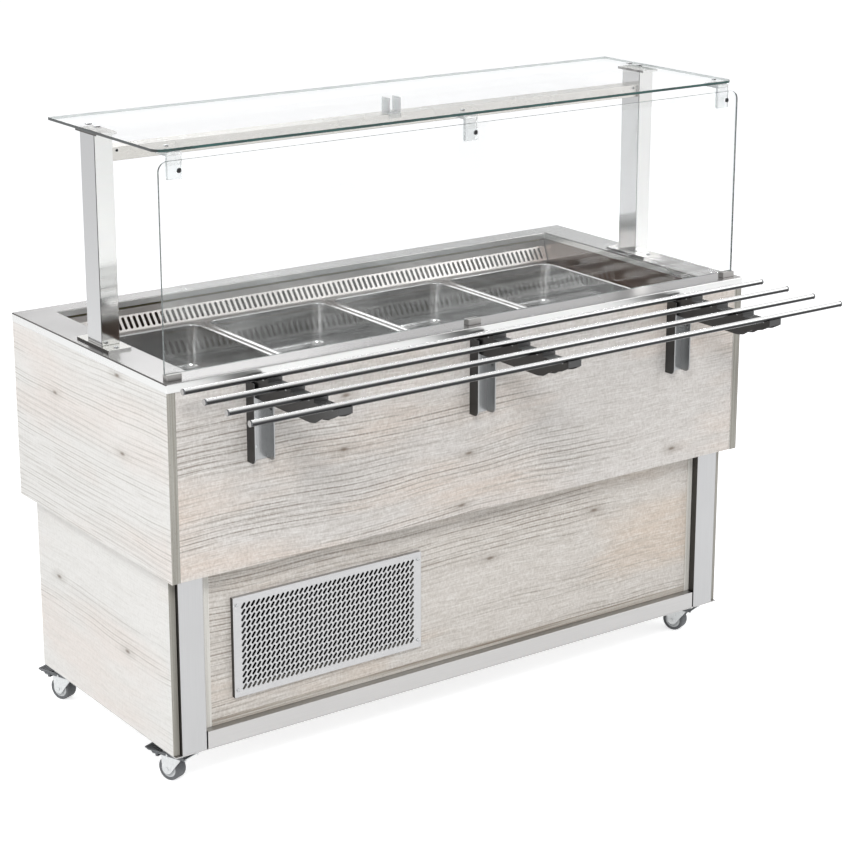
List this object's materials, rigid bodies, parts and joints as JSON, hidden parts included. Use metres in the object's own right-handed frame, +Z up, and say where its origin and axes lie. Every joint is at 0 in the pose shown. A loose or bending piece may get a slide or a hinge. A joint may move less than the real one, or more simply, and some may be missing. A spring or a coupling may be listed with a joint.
{
  "type": "mobile salad bar",
  "caption": "Mobile refrigerated salad bar: pale wood cabinet on castors, steel pan well, glass shelf with front screen, fold-down tube tray slide",
  "frame": {"origin": "On the floor, under the middle of the whole object's width and depth, tray slide included", "axes": "+X to the right along the counter, seen from the tray slide; -Y towards the tray slide; +Z up"},
  "size_m": [1.468, 0.991, 1.3065],
  "materials": {
    "wood_laminate": "whitewashed, matt laminate with a fine horizontal grain",
    "edge_strip": "matt laminate edge strip",
    "satin_steel": "satin stainless steel",
    "bright_steel": "polished stainless steel",
    "zinc_plate": "bright zinc plate",
    "dark_zinc": "dark pressed steel, satin",
    "grey_rubber": "grey non-marking rubber",
    "clear_glass": "clear toughened glass with polished edges",
    "clear_plastic": "clear acrylic",
    "lamp_cover": "opal lamp cover",
    "foam": "rigid foam",
    "fin_aluminium": "plain aluminium fins",
    "black_enamel": "black enamel",
    "dark_plastic": "dark moulded plastic"
  },
  "bodies": {
    "cabinet": {"base_plate": "satin_steel", "bottom_rail": "satin_steel", "body_posts": "satin_steel", "lower_sides": "wood_laminate", "lower_front_panel": "wood_laminate", "front_panel_trims": "edge_strip", "lower_back_panel": "wood_laminate", "intake_grille": "satin_steel", "upper_sides": "wood_laminate", "upper_front_panel": "wood_laminate", "upper_back_panel": "wood_laminate", "upper_floor": "wood_laminate", "worktop": "satin_steel", "well_liner": "satin_steel", "insulation": "foam", "well_air_grille": "satin_steel", "pan_supports": "satin_steel", "uprights": "satin_steel", "upright_plates": "satin_steel", "light_beam": "satin_steel", "led_lamp": "lamp_cover", "glass_shelf": "clear_glass", "glass_screen": "clear_glass", "glass_clamps": "clear_plastic", "glass_clips": "satin_steel", "fixing_screws": "bright_steel", "tray_brackets": "satin_steel", "castor_plates": "bright_steel", "compressor": "black_enamel", "condenser": "fin_aluminium", "evaporator": "fin_aluminium", "drain_pipe": "satin_steel", "control_plate": "satin_steel", "power_inlet": "dark_plastic"},
    "tray_slide": {"tray_arms": "satin_steel", "tray_tubes": "bright_steel"},
    "pan_full_left": {"pan_full_left": "satin_steel"},
    "pan_two_third_left": {"pan_two_third_left": "satin_steel"},
    "pan_third_left": {"pan_third_left": "satin_steel"},
    "pan_two_third_right": {"pan_two_third_right": "satin_steel"},
    "pan_third_right": {"pan_third_right": "satin_steel"},
    "pan_full_right": {"pan_full_right": "satin_steel"},
    "condenser_fan": {"condenser_fan": "dark_plastic"},
    "rocker_switch": {"rocker_switch": "dark_plastic"},
    "thermostat_knob": {"thermostat_knob": "dark_plastic"},
    "castor_fork_front_left": {"castor_fork_front_left": "zinc_plate"},
    "castor_wheel_front_left": {"castor_wheel_front_left": "grey_rubber"},
    "castor_pedal_front_left": {"castor_pedal_front_left": "dark_zinc"},
    "castor_fork_front_right": {"castor_fork_front_right": "zinc_plate"},
    "castor_wheel_front_right": {"castor_wheel_front_right": "grey_rubber"},
    "castor_pedal_front_right": {"castor_pedal_front_right": "dark_zinc"},
    "castor_fork_back_left": {"castor_fork_back_left": "zinc_plate"},
    "castor_wheel_back_left": {"castor_wheel_back_left": "grey_rubber"},
    "castor_pedal_back_left": {"castor_pedal_back_left": "dark_zinc"},
    "castor_fork_back_right": {"castor_fork_back_right": "zinc_plate"},
    "castor_wheel_back_right": {"castor_wheel_back_right": "grey_rubber"},
    "castor_pedal_back_right": {"castor_pedal_back_right": "dark_zinc"}
  },
  "joints": [
    {"name": "tray_fold", "type": "hinge", "parent": "cabinet", "child": "tray_slide", "pos_m": [0, -0.1995, 0.823], "axis": [1, 0, 0], "range_deg": [0, 90]},
    {"name": "pan_full_left_lift", "type": "slide", "parent": "cabinet", "child": "pan_full_left", "axis": [0, 0, 1], "range_m": [0, 0.2]},
    {"name": "pan_two_third_left_lift", "type": "slide", "parent": "cabinet", "child": "pan_two_third_left", "axis": [0, 0, 1], "range_m": [0, 0.2]},
    {"name": "pan_third_left_lift", "type": "slide", "parent": "cabinet", "child": "pan_third_left", "axis": [0, 0, 1], "range_m": [0, 0.2]},
    {"name": "pan_two_third_right_lift", "type": "slide", "parent": "cabinet", "child": "pan_two_third_right", "axis": [0, 0, 1], "range_m": [0, 0.2]},
    {"name": "pan_third_right_lift", "type": "slide", "parent": "cabinet", "child": "pan_third_right", "axis": [0, 0, 1], "range_m": [0, 0.2]},
    {"name": "pan_full_right_lift", "type": "slide", "parent": "cabinet", "child": "pan_full_right", "axis": [0, 0, 1], "range_m": [0, 0.2]},
    {"name": "fan_spin", "type": "hinge", "parent": "cabinet", "child": "condenser_fan", "pos_m": [-0.347, 0.0055, 0.279], "axis": [0, 1, 0], "continuous": true},
    {"name": "switch_rock", "type": "hinge", "parent": "cabinet", "child": "rocker_switch", "pos_m": [-0.48, 0.4785, 0.7], "axis": [1, 0, 0], "range_deg": [0, 12]},
    {"name": "thermostat_turn", "type": "hinge", "parent": "cabinet", "child": "thermostat_knob", "pos_m": [-0.385, 0.4855, 0.7], "axis": [0, 1, 0], "range_deg": [0, 300]},
    {"name": "swivel_front_left", "type": "hinge", "parent": "cabinet", "child": "castor_fork_front_left", "pos_m": [-0.675, -0.0955, 0.075], "axis": [0, 0, 1], "continuous": true},
    {"name": "roll_front_left", "type": "hinge", "parent": "castor_fork_front_left", "child": "castor_wheel_front_left", "pos_m": [-0.68396, -0.07216, 0.0255], "axis": [-0.9336, -0.3584, 0], "continuous": true},
    {"name": "brake_front_left", "type": "hinge", "parent": "castor_fork_front_left", "child": "castor_pedal_front_left", "pos_m": [-0.68217, -0.07683, 0.06], "axis": [-0.9336, -0.3584, 0], "range_deg": [0, 10]},
    {"name": "swivel_front_right", "type": "hinge", "parent": "cabinet", "child": "castor_fork_front_right", "pos_m": [0.675, -0.0955, 0.075], "axis": [0, 0, 1], "continuous": true},
    {"name": "roll_front_right", "type": "hinge", "parent": "castor_fork_front_right", "child": "castor_wheel_front_right", "pos_m": [0.66604, -0.07216, 0.0255], "axis": [-0.9336, -0.3584, 0], "continuous": true},
    {"name": "brake_front_right", "type": "hinge", "parent": "castor_fork_front_right", "child": "castor_pedal_front_right", "pos_m": [0.66783, -0.07683, 0.06], "axis": [-0.9336, -0.3584, 0], "range_deg": [0, 10]},
    {"name": "swivel_back_left", "type": "hinge", "parent": "cabinet", "child": "castor_fork_back_left", "pos_m": [-0.675, 0.3865, 0.075], "axis": [0, 0, 1], "continuous": true},
    {"name": "roll_back_left", "type": "hinge", "parent": "castor_fork_back_left", "child": "castor_wheel_back_left", "pos_m": [-0.68396, 0.40984, 0.0255], "axis": [-0.9336, -0.3584, 0], "continuous": true},
    {"name": "brake_back_left", "type": "hinge", "parent": "castor_fork_back_left", "child": "castor_pedal_back_left", "pos_m": [-0.68217, 0.40517, 0.06], "axis": [-0.9336, -0.3584, 0], "range_deg": [0, 10]},
    {"name": "swivel_back_right", "type": "hinge", "parent": "cabinet", "child": "castor_fork_back_right", "pos_m": [0.675, 0.3865, 0.075], "axis": [0, 0, 1], "continuous": true},
    {"name": "roll_back_right", "type": "hinge", "parent": "castor_fork_back_right", "child": "castor_wheel_back_right", "pos_m": [0.66604, 0.40984, 0.0255], "axis": [-0.9336, -0.3584, 0], "continuous": true},
    {"name": "brake_back_right", "type": "hinge", "parent": "castor_fork_back_right", "child": "castor_pedal_back_right", "pos_m": [0.66783, 0.40517, 0.06], "axis": [-0.9336, -0.3584, 0], "range_deg": [0, 10]}
  ]
}
